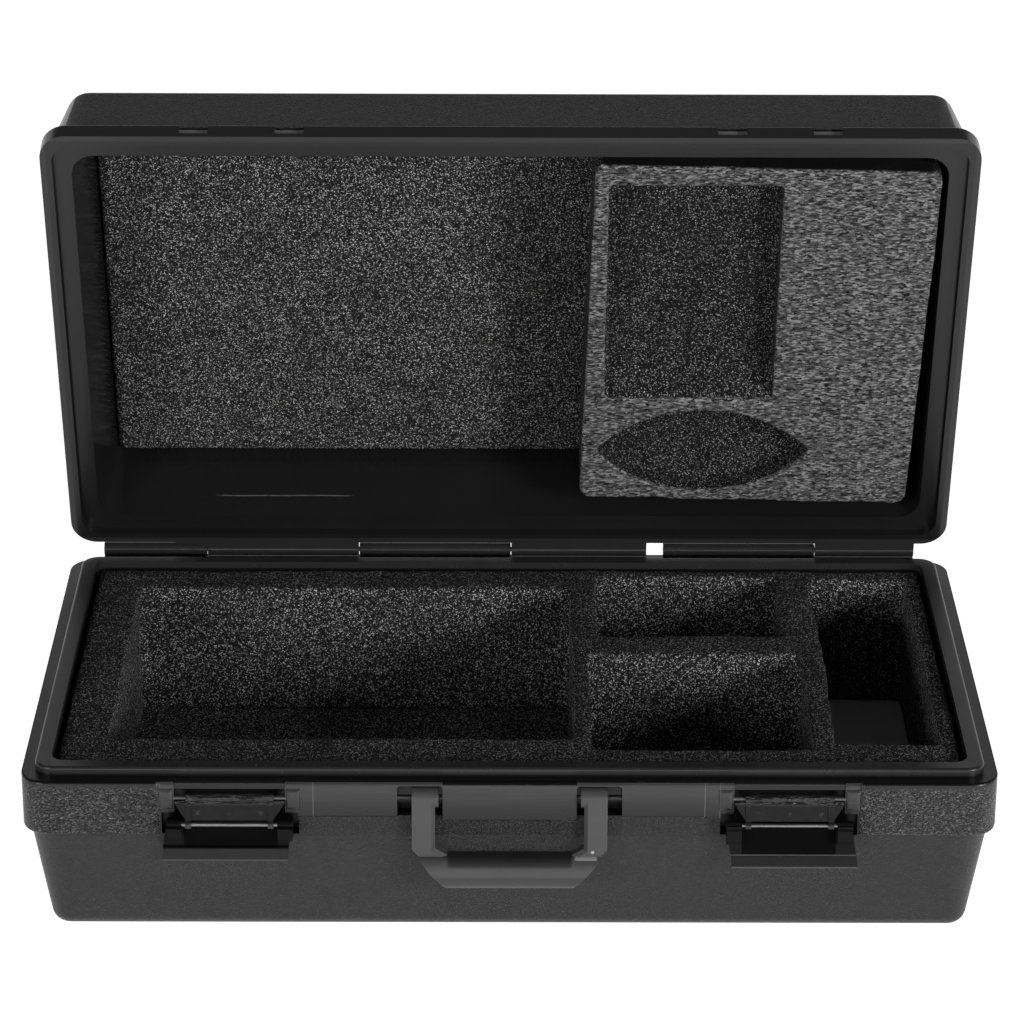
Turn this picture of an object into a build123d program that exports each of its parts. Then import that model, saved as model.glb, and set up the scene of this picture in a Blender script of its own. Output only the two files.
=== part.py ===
from build123d import *
import os
from math import cos, radians, sin, tan

# Tool case with a hinged lid, two snap latches, a folding handle and cut foam.
# Millimetres. X runs along the case, Y from the front to the hinge, Z up.
# The origin is the middle of the flat underside. The lid is modelled shut and then
# turned back about the hinge, the latches are modelled latched and then let down.

# Overall size
case_width = 560.0
case_depth = 314.0
base_height = 101.5
lid_height = 69.2
lip_gap = 0.3

# Outer skin
band_height = 34.5
lid_flange_height = 12.7
band_step = 2.8
wall_draft = 9.8
band_corner = 16.0
body_corner = 22.0
band_top_round = 0.7
band_bottom_round = 2.2
flange_round = 1.6
bottom_round = 9.0

# Tongue on the base and the rebate in the lid that drops over it
tongue_inset = 7.6
tongue_width = 9.1
tongue_height = 5.4
tongue_corner = 11.0
tongue_round = 1.6
rebate_clearance = 0.6

# Cavities
base_floor = 4.5
base_cavity_corner = 6.0
base_cavity_draft = 1.2
lid_ledge_width = 10.7
lid_cavity_corner = 14.0
lid_panel = 5.0

# Hinge: barrels on both shells, turning on two steel rods
hinge_offset = 8.3
hinge_rise = 3.8
barrel_radius = 4.2
rod_radius = 1.5
running_clearance = 0.05
barrel_pitch = 97.6
first_joint_x = -193.9
hinge_half_length = 260.2
barrel_end_gap = 0.5
rod_break = 10.6
rod_end_inset = 0.8
lid_web_height = 6.4
lid_web_flare = 23.8
base_web_drop = 15.5
hinge_rail_gap = 0.5
hinge_rail_edge = 1.5
hinge_rail_reach = 2.0
lid_open = 73.4

# Latch recesses in the front band
latch_x = 160.0
recess_depth = 11.0
recess_upper_width = 63.5
recess_lower_width = 78.4
recess_lower_height = 15.0
lintel_height = 5.0
lintel_set_back = 1.5
boss_width = 9.0
boss_height = 14.0
boss_proud = 1.2
boss_round = 2.6
notch_width = 17.3
notch_depth = 3.9
notch_ledge = 3.5
notch_spread = 28.4

# Latch link: hangs from a pin in the bosses and carries the catch on a second pin
anchor_drop = 10.5
anchor_inset = 1.0
link_length = 15.1
link_lean_rest = 26.0
link_lean_shut = 16.0
link_barrel_radius = 2.6
link_plate_thickness = 2.4
link_plate_gap = 2.2
link_rib_inner = 22.0
link_rib_width = 3.2
link_rib_half = 1.8
ear_clearance = 0.55
ear_depth = 12.4
ear_lead = 2.0
ear_edge = 1.6
latch_pin_radius = 1.25
anchor_pin_grip = 4.5
pin_end_gap = 0.5

# Latch catch: hooked cheeks, a plate set off the pin and a finger lip that returns
catch_width = 72.0
cheek_width = 8.6
catch_boss_radius = 2.4
catch_plate_offset = 5.2
catch_plate_thickness = 1.4
catch_length = 24.8
hook_reach = 5.2
hook_under = 0.1
hook_tip = 1.2
hook_root = 3.4
hook_face = 1.2
hook_top = 11.4
hook_toe = 2.4
lip_start = 19.2
lip_edge = 4.0
lip_out = 1.7
lip_thickness = 2.0
lip_shift = 3.0
catch_hang_left = -9.0
catch_hang_right = 15.0

# Handle, its two slots and the stepped middle of the band
handle_half_width = 55.9
handle_arm_width = 13.2
handle_pivot_drop = 10.5
handle_pivot_inset = 2.5
handle_head_radius = 6.0
handle_head_extra = 2.0
handle_reach = 53.4
handle_bevel = 2.0
handle_shoulder = 29.5
handle_foot_half = 35.6
handle_arm_thickness = 7.2
handle_lean = 4.2
handle_foot_lean = 5.7
grip_height = 19.4
grip_depth = 14.4
grip_proud = 1.0
handle_pin_radius = 1.5
handle_pin_grip = 3.8
slot_width = 26.0
slot_height = 19.6
slot_lintel = 2.4
slot_corner = 2.0
middle_half = 121.0
middle_set_back = 2.0
pad_drop = 2.2

# Foam
foam_clearance = 0.3
foam_side_gap = 3.3
foam_pad_thickness = 13.0
foam_top_rise = 1.7
liner_thickness = 10.0
liner_hinge_gap = 14.0
block_recess = 2.8
block_centre_x = 151.6
block_centre_y = -4.9
block_width = 208.0
block_length = 257.0
block_corner = 6.0
block_turn = 1.4
lid_pocket_depth = 16.0
lid_pocket_x = 59.2
lid_pocket_width = 104.6
lid_pocket_y = -120.0
lid_pocket_length = 164.6
lens_x = 121.5
lens_y = 83.5
lens_length = 134.9
lens_height = 65.0

# Base foam pockets: the long tray, two square wells and the side slot
tray_width = 271.5
tray_length = 211.0
tray_x = -97.75
tray_y = 2.5
back_well_width = 115.5
back_well_length = 88.5
back_well_x = 112.25
back_well_y = 82.75
front_well_width = 129.7
front_well_length = 129.5
front_well_x = 112.65
front_well_y = -52.25
side_slot_width = 63.0
side_slot_length = 232.5
side_slot_x = 219.5
side_slot_y = 6.75

# Worked out from the sizes above
half_width = case_width / 2
half_depth = case_depth / 2
band_bottom = base_height - band_height
draft_slope = tan(radians(wall_draft))
rim_z = base_height + lip_gap
flange_top = rim_z + lid_flange_height
lid_top = rim_z + lid_height
hinge_y = half_depth + hinge_offset
hinge_z = base_height + hinge_rise
recess_top = base_height - lintel_height
anchor_y = -half_depth + anchor_inset
anchor_z = base_height - anchor_drop
catch_y = anchor_y - link_length * sin(radians(link_lean_shut))
catch_z = anchor_z + link_length * cos(radians(link_lean_shut))
link_swing = 180.0 - link_lean_rest - link_lean_shut
pivot_y = -half_depth + handle_pivot_inset
pivot_z = base_height - handle_pivot_drop
lid_cavity_inset = tongue_inset - rebate_clearance + lid_ledge_width
rebate_depth = tongue_height - lip_gap + rebate_clearance
tongue_inner = tongue_inset + tongue_width
foam_top = base_height + foam_top_rise
liner_top = lid_top - lid_panel - foam_clearance
block_front = rim_z + block_recess
block_top = liner_top - liner_thickness - foam_clearance


def box(x0, x1, y0, y1, z0, z1):
    """Box from its six faces."""
    middle = Pos((x0 + x1) / 2, (y0 + y1) / 2, (z0 + z1) / 2)
    return middle * Box(abs(x1 - x0), abs(y1 - y0), abs(z1 - z0))


def slab(inset, corner, bottom, height, taper=0.0):
    """Rounded slab on the case's plan, set in from the band all round."""
    plan = Pos(0, 0, bottom) * RectangleRounded(case_width - 2 * inset, case_depth - 2 * inset, corner)
    return extrude(plan, height, taper=taper)


def bar(x0, x1, y, z, radius):
    """Round bar along X."""
    return Pos((x0 + x1) / 2, y, z) * Rot(0, 90, 0) * Cylinder(radius, abs(x1 - x0))


def side_plate(points, x0, x1):
    """Flat plate whose outline is given in Y and Z, from x0 to x1."""
    outline = Plane.YZ.offset(x0) * make_face(Polyline(*points, close=True))
    return extrude(outline, x1 - x0)


def front_plate(points, y0, y1):
    """Flat plate whose outline is given in X and Z, from y1 forward to y0."""
    outline = Plane.XZ.offset(-y1) * make_face(Polyline(*points, close=True))
    return extrude(outline, y1 - y0)


def top_edges(solid):
    return solid.edges().group_by(Axis.Z)[-1]


def bottom_edges(solid):
    return solid.edges().group_by(Axis.Z)[0]


# Hinge barrels
def barrel_spans():
    """Ends of the barrels along X, as base spans and lid spans in turn."""
    joints = [first_joint_x + barrel_pitch * step for step in range(5)]
    half_gap = barrel_end_gap / 2
    base = [
        (-hinge_half_length, joints[0] - half_gap),
        (joints[1] + half_gap, joints[2] - half_gap),
        (joints[3] + half_gap, joints[4] - half_gap),
    ]
    lid = [
        (joints[0] + half_gap, joints[1] - half_gap),
        (joints[2] + half_gap, joints[3] - rod_break),
        (joints[4] + half_gap, hinge_half_length),
    ]
    return base, lid


def base_barrel(span):
    x0, x1 = span
    root = half_depth - band_step
    web = [
        (root, base_height - base_web_drop),
        (root, base_height - lip_gap),
        (hinge_y - barrel_radius / 2, base_height - lip_gap),
        (hinge_y, hinge_z),
        (hinge_y + barrel_radius * cos(radians(20)), hinge_z - barrel_radius * sin(radians(20))),
    ]
    return bar(x0, x1, hinge_y, hinge_z, barrel_radius) + side_plate(web, x0, x1)


def hinge_rail():
    """Ledge under all the barrels, which closes the gap behind the rim."""
    root = half_depth - band_step
    top = hinge_z - barrel_radius - hinge_rail_gap
    back = hinge_y + hinge_rail_reach
    ledge = [(root, base_height - base_web_drop), (root, top), (back, top), (back, top - hinge_rail_edge)]
    return side_plate(ledge, -hinge_half_length, hinge_half_length)


def lid_barrel(span, flare):
    x0, x1 = span
    root = half_depth - band_step
    near = hinge_y - barrel_radius - barrel_end_gap
    half = lid_web_height / 2
    barrel = bar(x0, x1, hinge_y, hinge_z, barrel_radius)
    web = box(x0, x1, root, hinge_y, hinge_z - half, hinge_z + half)
    if flare > 0:
        corner = [(x0 - flare, root), (x0 - flare, half_depth), (x0, near), (x0, root)]
        outline = Pos(0, 0, hinge_z - half) * make_face(Polyline(*corner, close=True))
        web = web + extrude(outline, lid_web_height)
    return barrel + web


def hinge_rods():
    base, lid = barrel_spans()
    left = bar(base[0][0] + rod_end_inset, lid[1][1] - rod_end_inset, hinge_y, hinge_z, rod_radius)
    right = bar(base[2][0] + rod_end_inset, lid[2][1] - rod_end_inset, hinge_y, hinge_z, rod_radius)
    return left, right


# Base shell
def base_skin():
    """Outer form of the base: drafted body, upright band and the tongue."""
    rise = band_bottom * draft_slope
    body = slab(band_step + rise, body_corner - rise, 0, band_bottom, -wall_draft)
    body = fillet(bottom_edges(body), bottom_round)
    band = slab(0, band_corner, band_bottom, band_height)
    band = fillet(top_edges(band), band_top_round)
    band = fillet(bottom_edges(band), band_bottom_round)
    tongue = slab(tongue_inset, tongue_corner, band_bottom, band_height + tongue_height)
    tongue = fillet(top_edges(tongue), tongue_round)
    return body + band + tongue


def base_cavity():
    height = base_height + tongue_height - base_floor
    shrink = height * tan(radians(base_cavity_draft))
    return slab(tongue_inner + shrink, base_cavity_corner, base_floor, height, -base_cavity_draft)


def latch_recess(side):
    """Two-step recess for one latch, with the strip above it set back a little."""
    x = side * latch_x
    front = -half_depth - boss_proud - 1
    back = -half_depth + recess_depth
    upper = recess_upper_width / 2
    lower = recess_lower_width / 2
    lintel = -half_depth + lintel_set_back
    cut = box(x - upper, x + upper, front, back, band_bottom, recess_top)
    cut += box(x - lower, x + lower, front, back, band_bottom, band_bottom + recess_lower_height)
    return cut + box(x - upper, x + upper, front, lintel, recess_top, base_height + 1)


def latch_bosses(side):
    """Blocks beside one recess that carry the latch's pin."""
    blocks = Part()
    inner = recess_upper_width / 2
    for hand in (-1, 1):
        x0 = side * latch_x + hand * inner
        x1 = x0 + hand * boss_width
        top = recess_top + boss_proud
        back = -half_depth + recess_depth / 2
        block = box(x0, x1, -half_depth - boss_proud, back, top - boss_height, top)
        block = fillet(block.faces().sort_by(Axis.Y)[0].edges(), boss_round)
        blocks += block
    return blocks


def pad_drop_cut(inner):
    """Bevel along the top of the pad between the slots."""
    front = -half_depth
    wedge = [
        (front - 1, base_height - pad_drop - 1),
        (front + pad_drop + 1, base_height + 1),
        (front - 1, base_height + 1),
    ]
    return side_plate(wedge, -inner, inner)


def handle_slots():
    """Slots for the two arms, and the set-back lower part of the band between the latches."""
    outer = handle_half_width - handle_arm_width / 2 + slot_width / 2 + handle_head_extra
    top = base_height - slot_lintel
    bottom = top - slot_height
    front = -half_depth - 1
    back = -half_depth + recess_depth
    inner = outer - slot_width
    step = -half_depth + middle_set_back
    cut = box(-middle_half, middle_half, front, step, band_bottom, bottom - pad_drop) + pad_drop_cut(inner)
    for hand in (-1, 1):
        cut += box(hand * inner, hand * middle_half, front, step, bottom - pad_drop, bottom)
        slot = box(hand * inner, hand * outer, front, back, bottom, top)
        cut += fillet(slot.edges().filter_by(Axis.Y).group_by(Axis.Z)[-1], slot_corner)
    return cut


def latch_anchor_pin(side, radius, extra):
    reach = recess_upper_width / 2 + anchor_pin_grip + extra
    return bar(side * latch_x - reach, side * latch_x + reach, anchor_y, anchor_z, radius)


def handle_pin(side, radius, extra):
    outer = handle_half_width - handle_arm_width / 2 + slot_width / 2 + handle_head_extra
    inner = outer - slot_width
    reach = handle_pin_grip + extra
    return bar(side * (inner - reach), side * (outer + reach), pivot_y, pivot_z, radius)


def base_shell():
    shell = base_skin() - base_cavity() - handle_slots()
    for side in (-1, 1):
        shell = shell + latch_bosses(side) - latch_recess(side)
        shell -= latch_anchor_pin(side, latch_pin_radius + running_clearance, pin_end_gap)
        shell -= handle_pin(side, handle_pin_radius + running_clearance, pin_end_gap)
    spans, _ = barrel_spans()
    shell += hinge_rail()
    for span in spans:
        shell += base_barrel(span)
    return shell - bar(-hinge_half_length, hinge_half_length, hinge_y, hinge_z, rod_radius + running_clearance)


# Lid shell, modelled shut
def lid_skin():
    flange = slab(0, band_corner, rim_z, lid_flange_height)
    flange = fillet(top_edges(flange), flange_round)
    body = slab(band_step, body_corner, flange_top, lid_top - flange_top, wall_draft)
    body = fillet(top_edges(body), bottom_round)
    return flange + body


def lid_cavity(clearance=0.0):
    """Space inside the lid above the ledge, with the same draft as the skin."""
    start = rim_z + rebate_depth
    height = lid_top - lid_panel - start
    return slab(lid_cavity_inset + clearance, lid_cavity_corner, start, height, wall_draft)


def lid_rebate():
    inset = tongue_inset - rebate_clearance
    return slab(inset, tongue_corner + rebate_clearance, rim_z - 1, rebate_depth + 1)


def lid_notches():
    """Four pockets in the front flange that the latch hooks drop into."""
    cut = Part()
    back = -half_depth + notch_depth
    for side in (-1, 1):
        for hand in (-1, 1):
            x = side * latch_x + hand * notch_spread
            half = notch_width / 2
            cut += box(x - half, x + half, -half_depth - 1, back, rim_z + notch_ledge, flange_top + 1)
    return cut


def lid_shell():
    shell = lid_skin() - lid_rebate() - lid_cavity() - lid_notches()
    _, spans = barrel_spans()
    for span, flare in zip(spans, (lid_web_flare, 0, 0)):
        shell += lid_barrel(span, flare)
    return shell - bar(-hinge_half_length, hinge_half_length, hinge_y, hinge_z, rod_radius + running_clearance)


# Latch pieces, modelled latched
def link_frame(side):
    """Frame at the anchor pin: X along the pin, Y out of the case, Z towards the catch pin."""
    return Pos(side * latch_x, anchor_y, anchor_z) * Rot(link_lean_shut, 0, 0)


def rounded_strap(x0, x1, half, length):
    """Side rib of the link: round at both pins, straight between them."""
    strap = box(x0, x1, -half, half, 0, length)
    strap += bar(x0, x1, 0, 0, link_barrel_radius)
    return strap + bar(x0, x1, 0, length, link_barrel_radius)


def latch_link(side):
    """Plate with a rolled top, two ribs that hold the catch pin, and tapered ears."""
    half = link_plate_thickness / 2
    ear = recess_upper_width / 2 - ear_clearance
    rib_outer = link_rib_inner + link_rib_width
    link = bar(-rib_outer, rib_outer, 0, 0, link_barrel_radius)
    link += box(-link_rib_inner, link_rib_inner, -half, half, 0, link_length - link_plate_gap)
    for hand in (-1, 1):
        x0, x1 = sorted((hand * link_rib_inner, hand * rib_outer))
        link += rounded_strap(x0, x1, link_rib_half, link_length)
        outline = [
            (hand * rib_outer, ear_lead),
            (hand * ear, ear_lead),
            (hand * ear, ear_lead + ear_edge),
            (hand * rib_outer, ear_depth),
        ]
        link += front_plate(outline, -half, half)
    link -= bar(-ear - 1, ear + 1, 0, 0, latch_pin_radius + running_clearance)
    link -= bar(-ear - 1, ear + 1, 0, link_length, latch_pin_radius + running_clearance)
    return link_frame(side) * link


def hook_cheek(x0, x1):
    """Hooked cheek of the catch: a round eye, and a hook with a flat underside."""
    back = -catch_plate_offset - catch_plate_thickness
    hook = [
        (back, -hook_under),
        (hook_reach, -hook_under),
        (hook_reach, -hook_under + hook_tip),
        (hook_face, hook_root),
        (hook_face, hook_top - hook_toe),
        (hook_face - hook_toe / 2, hook_top),
        (back, hook_top),
    ]
    return bar(x0, x1, 0, 0, catch_boss_radius) + side_plate(hook, x0, x1)


def latch_catch(side):
    """Catch in its own frame at the catch pin: Y into the case, Z up when latched."""
    half = catch_width / 2
    shift = side * lip_shift
    back = -catch_plate_offset - catch_plate_thickness
    heel = lip_start + lip_thickness
    plate = [(-half, -hook_under), (half, -hook_under), (half + shift, heel), (-half + shift, heel)]
    lip = [
        (back, lip_start),
        (-lip_edge, lip_start),
        (lip_out, catch_length - lip_thickness / 2),
        (lip_out, catch_length),
        (lip_out - lip_thickness / 2, catch_length),
        (back, heel),
    ]
    catch = front_plate(plate, back, -catch_plate_offset) + side_plate(lip, shift - half, shift + half)
    for hand in (-1, 1):
        x0, x1 = sorted((hand * half, hand * (half - cheek_width)))
        catch += hook_cheek(x0, x1)
    catch -= bar(-half - 1, half + 1, 0, 0, latch_pin_radius + running_clearance)
    return Pos(side * latch_x, catch_y, catch_z) * catch


def latch_catch_pin(side):
    half = catch_width / 2
    return bar(side * latch_x - half, side * latch_x + half, catch_y, catch_z, latch_pin_radius)


def let_down(part):
    """Swing a latched piece down about the anchor pin, to where it hangs."""
    anchor = Axis((0, anchor_y, anchor_z), (1, 0, 0))
    return part.rotate(anchor, link_swing)


def catch_let_down(part, hang):
    """Turn the catch on its own pin first, so that it hangs down at its own tilt."""
    pin = Axis((0, catch_y, catch_z), (1, 0, 0))
    return let_down(part.rotate(pin, 180.0 - hang - link_swing))


# Handle, hanging
def handle_side_outline():
    """Arm and head seen from the side."""
    shoulder_y = pivot_y - handle_lean
    foot_y = pivot_y - handle_foot_lean
    half = handle_arm_thickness / 2
    slot_bottom = base_height - slot_lintel - slot_height
    foot_z = pivot_z - handle_reach + grip_height / 2
    return [
        (pivot_y - handle_head_radius, pivot_z),
        (shoulder_y - half, slot_bottom),
        (foot_y - half, foot_z),
        (foot_y + half, foot_z),
        (shoulder_y + half, slot_bottom),
        (pivot_y + handle_head_radius * 0.6, pivot_z),
    ]


def handle_front_outline(inset):
    """Bail seen from the front, from the pivot down; inset moves it in to the finger side."""
    side_x = handle_half_width - inset
    foot_x = handle_foot_half
    top = pivot_z + handle_head_radius
    shoulder = pivot_z - handle_shoulder
    foot = pivot_z - handle_reach + inset * grip_height / handle_arm_width
    right = [(side_x, top), (side_x, shoulder), (foot_x, foot)]
    return [(-x, z) for x, z in right] + right[::-1]


def handle_grip():
    """Oval bar across the foot of the bail, standing a little proud of the arms."""
    grip_y = pivot_y - handle_lean - handle_arm_thickness / 2 - grip_proud
    grip_z = pivot_z - handle_reach + grip_height / 2
    start = Plane.YZ.offset(-handle_half_width) * Pos(grip_y, grip_z)
    return extrude(start * Ellipse(grip_depth / 2, grip_height / 2), 2 * handle_half_width)


def finger_edges(bail):
    """Front edges of the two arms on the finger side, from the slots to the grip."""
    inner = handle_half_width - handle_arm_width + 0.5
    front_y = pivot_y - handle_lean - handle_bevel / 2
    grip_top = pivot_z - handle_reach + grip_height
    edges = bail.edges().filter_by(lambda edge: abs(edge.center().X) < inner)
    edges = edges.filter_by(lambda edge: edge.center().Y < front_y)
    return edges.filter_by(lambda edge: edge.center().Z > grip_top + 1)


def handle():
    """Bail: the front outline less the finger gap, with round heads on the two pins."""
    front = pivot_y - handle_reach
    back = pivot_y + handle_reach
    outer = front_plate(handle_front_outline(0), front, back)
    gap = front_plate(handle_front_outline(handle_arm_width), front, back)
    arms = side_plate(handle_side_outline(), -handle_half_width, handle_half_width)
    bail = (outer & arms) - gap
    bail = chamfer(finger_edges(bail), handle_bevel) + (handle_grip() & outer)
    for hand in (-1, 1):
        edge = hand * (handle_half_width - handle_arm_width - handle_head_extra)
        bail += bar(edge, hand * handle_half_width, pivot_y, pivot_z, handle_head_radius)
        bail -= handle_pin(hand, handle_pin_radius + running_clearance, 0)
    return bail


# Foam
def base_foam_pad():
    plan = tongue_inner + foam_side_gap
    return slab(plan, base_cavity_corner, base_floor + foam_clearance, foam_pad_thickness)


def base_foam_insert():
    plan = tongue_inner + foam_side_gap
    bottom = base_floor + foam_pad_thickness + 2 * foam_clearance
    height = foam_top - bottom
    insert = slab(plan, base_cavity_corner, bottom, height)
    pockets = (
        (tray_x, tray_y, tray_width, tray_length),
        (back_well_x, back_well_y, back_well_width, back_well_length),
        (front_well_x, front_well_y, front_well_width, front_well_length),
        (side_slot_x, side_slot_y, side_slot_width, side_slot_length),
    )
    for x, y, width, length in pockets:
        insert -= Pos(x, y, bottom + height / 2) * Box(width, length, height + 2)
    return insert


def lid_foam_liner():
    room = lid_cavity(foam_clearance * 2)
    hinge_side = half_depth - lid_cavity_inset - liner_hinge_gap
    slice_box = box(-half_width, half_width, -half_depth, hinge_side, liner_top - liner_thickness, liner_top)
    return room & slice_box


def lens_plate(depth):
    """Lens-shaped cutter: two equal arcs on one chord."""
    half = lens_length / 2
    rise = lens_height / 2
    upper = ThreePointArc((-half, 0), (0, rise), (half, 0))
    lower = ThreePointArc((half, 0), (0, -rise), (-half, 0))
    return extrude(make_face(upper + lower), depth)


def lid_foam_block():
    height = block_top - block_front
    plan = Pos(block_centre_x, block_centre_y, block_front) * Rot(0, 0, block_turn)
    block = plan * extrude(RectangleRounded(block_width, block_length, block_corner), height)
    mouth = slab(lid_cavity_inset + foam_clearance, lid_cavity_corner, rim_z, rebate_depth)
    block = block & (lid_cavity(foam_clearance * 2) + mouth)
    right = lid_pocket_x + lid_pocket_width
    back = lid_pocket_y + lid_pocket_length
    block -= box(lid_pocket_x, right, lid_pocket_y, back, block_front - 1, block_front + lid_pocket_depth)
    return block - Pos(lens_x, lens_y, block_front - 1) * lens_plate(lid_pocket_depth + 1)


def turned_back(part):
    """Open the lid about the hinge, from shut to where it stands."""
    return part.rotate(Axis((0, hinge_y, hinge_z), (1, 0, 0)), -lid_open)


def build():
    parts = {"base_shell": base_shell(), "lid_shell": turned_back(lid_shell())}
    parts["hinge_rod_left"], parts["hinge_rod_right"] = hinge_rods()
    parts["handle"] = handle()
    hangs = {"left": catch_hang_left, "right": catch_hang_right}
    for name, side in (("left", -1), ("right", 1)):
        parts[name + "_handle_pin"] = handle_pin(side, handle_pin_radius, 0)
        parts[name + "_latch_anchor_pin"] = latch_anchor_pin(side, latch_pin_radius, 0)
        parts[name + "_latch_link"] = let_down(latch_link(side))
        parts[name + "_latch_catch_pin"] = let_down(latch_catch_pin(side))
        parts[name + "_latch_catch"] = catch_let_down(latch_catch(side), hangs[name])
    parts["base_foam_pad"] = base_foam_pad()
    parts["base_foam_insert"] = base_foam_insert()
    parts["lid_foam_liner"] = turned_back(lid_foam_liner())
    parts["lid_foam_block"] = turned_back(lid_foam_block())
    return parts


os.makedirs("parts", exist_ok=True)
for node, solid in build().items():
    export_step(solid, "parts/" + node + ".step")
    print(node, round(solid.volume), len(solid.solids()))
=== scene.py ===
# %% [markdown]
# # A black tool case, open on a table
# The case is blow-moulded in two halves. It has a bail handle, two snap latches that hang
# open, steel pins, and cut foam in both halves. The measured model comes first and sets
# every size and place. This lesson adds what measuring leaves out: soft foam, surface
# grain, wear, light and a camera.

# %% Load the measured model
from math import cos, degrees, pi, radians, sin, tan

import bpy
from mathutils import Matrix, Quaternion, Vector


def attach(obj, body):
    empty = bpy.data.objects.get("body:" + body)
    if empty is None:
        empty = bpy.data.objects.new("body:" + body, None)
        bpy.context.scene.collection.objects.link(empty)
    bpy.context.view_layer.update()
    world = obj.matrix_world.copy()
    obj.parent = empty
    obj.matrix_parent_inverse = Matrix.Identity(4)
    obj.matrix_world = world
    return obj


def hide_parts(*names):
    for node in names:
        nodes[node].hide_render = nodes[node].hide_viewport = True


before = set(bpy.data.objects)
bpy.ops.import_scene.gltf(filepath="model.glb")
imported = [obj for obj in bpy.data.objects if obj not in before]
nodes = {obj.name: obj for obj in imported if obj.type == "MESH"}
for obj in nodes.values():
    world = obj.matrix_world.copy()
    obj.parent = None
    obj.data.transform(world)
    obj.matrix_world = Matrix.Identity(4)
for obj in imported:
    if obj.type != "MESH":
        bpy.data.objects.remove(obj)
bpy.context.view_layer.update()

MM = 0.001
print("measured pieces:", len(nodes))

# %% [markdown]
# ## Camera
# The photographer stood about two metres away with a long lens and looked down at the
# open case by some 23 degrees. A long lens keeps the sides nearly parallel. The place
# and the angles were found from the corners of the rims, so they are typed as they are.

# %% Camera
LENS_MM, SENSOR_MM = 139.67, 36.0
CAMERA_PLACE = Vector((-6.6, -2177.8, 1135.1)) * MM
pitch, yaw, roll = radians(23.19), radians(0.207), radians(0.216)
sight = Vector((sin(yaw) * cos(pitch), cos(yaw) * cos(pitch), -sin(pitch)))
lens = bpy.data.cameras.new("long_lens")
lens.lens = LENS_MM
lens.sensor_width = SENSOR_MM
camera = bpy.data.objects.new("camera", lens)
bpy.context.scene.collection.objects.link(camera)
camera.rotation_mode = "QUATERNION"
camera.rotation_quaternion = sight.to_track_quat("-Z", "Y") @ Quaternion((0, 0, 1), roll)
camera.location = CAMERA_PLACE
bpy.context.scene.camera = camera
bpy.context.scene.view_settings.view_transform = "Standard"
print("camera looks down by", round(degrees(pitch), 1), "degrees")

# %% [markdown]
# ## Shader sums written as Python
# A finish is a chain of nodes. Wiring each by hand hides the idea, so one small class
# holds a socket and lets + - * stand for Math nodes. Every other node comes from the
# method `add`, which takes the node's type, its settings and its inputs.


# %% The wire class
class Wire:
    """One output socket, on which Python's operators add Math nodes."""

    def __init__(self, tree, socket):
        self.tree = tree
        self.socket = socket

    def add(self, kind, inputs, out=0, **settings):
        """Any node: its type, its settings, its inputs, and the output that is wanted."""
        node = self.tree.nodes.new(kind)
        for name, value in settings.items():
            setattr(node, name, value)
        for key, value in inputs.items():
            if isinstance(value, Wire):
                self.tree.links.new(value.socket, node.inputs[key])
            else:
                node.inputs[key].default_value = value
        return Wire(self.tree, node.outputs[out])

    def math(self, operation, *values):
        return self.add("ShaderNodeMath", dict(enumerate(values)), operation=operation)

    def __add__(self, other):
        return self.math("ADD", self, other)

    def __sub__(self, other):
        return self.math("SUBTRACT", self, other)

    def __rsub__(self, other):
        return self.math("SUBTRACT", other, self)

    def __mul__(self, other):
        return self.math("MULTIPLY", self, other)

    def __pow__(self, other):
        return self.math("POWER", self, other)

    def __abs__(self):
        return self.math("ABSOLUTE", self)

    __radd__ = __add__
    __rmul__ = __mul__

    def larger(self, other):
        return self.math("MAXIMUM", self, other)

    def smaller(self, other):
        return self.math("MINIMUM", self, other)

    def rise(self, low, high):
        """0 below low, 1 above high, and a soft step between them."""
        reach = {"Value": self, "From Min": low, "From Max": high}
        return self.add("ShaderNodeMapRange", reach, interpolation_type="SMOOTHSTEP")

    def between(self, low, high, soft):
        """1 where the value lies between two limits."""
        return self.rise(low - soft, low + soft) * (1 - self.rise(high - soft, high + soft))

    def axis(self, way):
        """The X, Y or Z of a vector, as 0, 1 or 2."""
        return self.add("ShaderNodeSeparateXYZ", {"Vector": self}, out=way)

    def axes(self):
        """The X, Y and Z of a vector, each as its own wire."""
        return [self.axis(way) for way in range(3)]

    def stretch(self, x, y, z):
        """The vector with each axis scaled, to draw a pattern out along one of them."""
        return self.add("ShaderNodeMapping", {"Vector": self, "Scale": (x, y, z)})

    def noise(self, scale, detail=2.0, rough=0.5):
        """Soft clouds, with so many of them to the metre."""
        sockets = {"Vector": self, "Scale": scale, "Detail": detail, "Roughness": rough}
        return self.add("ShaderNodeTexNoise", sockets)

    def cells(self, scale, out="Distance", feature="F1"):
        """Cells round scattered points: the way to each point, or a random grey."""
        sockets = {"Vector": self, "Scale": scale}
        return self.add("ShaderNodeTexVoronoi", sockets, out=out, feature=feature)

    def raised(self, depth, under=None):
        """This wire as the height of a bump, in metres, over another bump if there is one."""
        sockets = {"Height": self, "Distance": depth}
        if under is not None:
            sockets["Normal"] = under
        return self.add("ShaderNodeBump", sockets)

    def blend(self, first, second):
        """Two colours mixed, with this wire as the mask."""
        sockets = {0: self, 6: first, 7: second}
        return self.add("ShaderNodeMix", sockets, out=2, data_type="RGBA")


def grey(level):
    """A linear grey as a colour."""
    return (level, level, level, 1)


print("wires ready")

# %% [markdown]
# ## Materials
# Every finish here is one Principled shader that is fed by a few wires. A small class
# makes the material, hands out the object's coordinates and puts it on the pieces.


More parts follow.
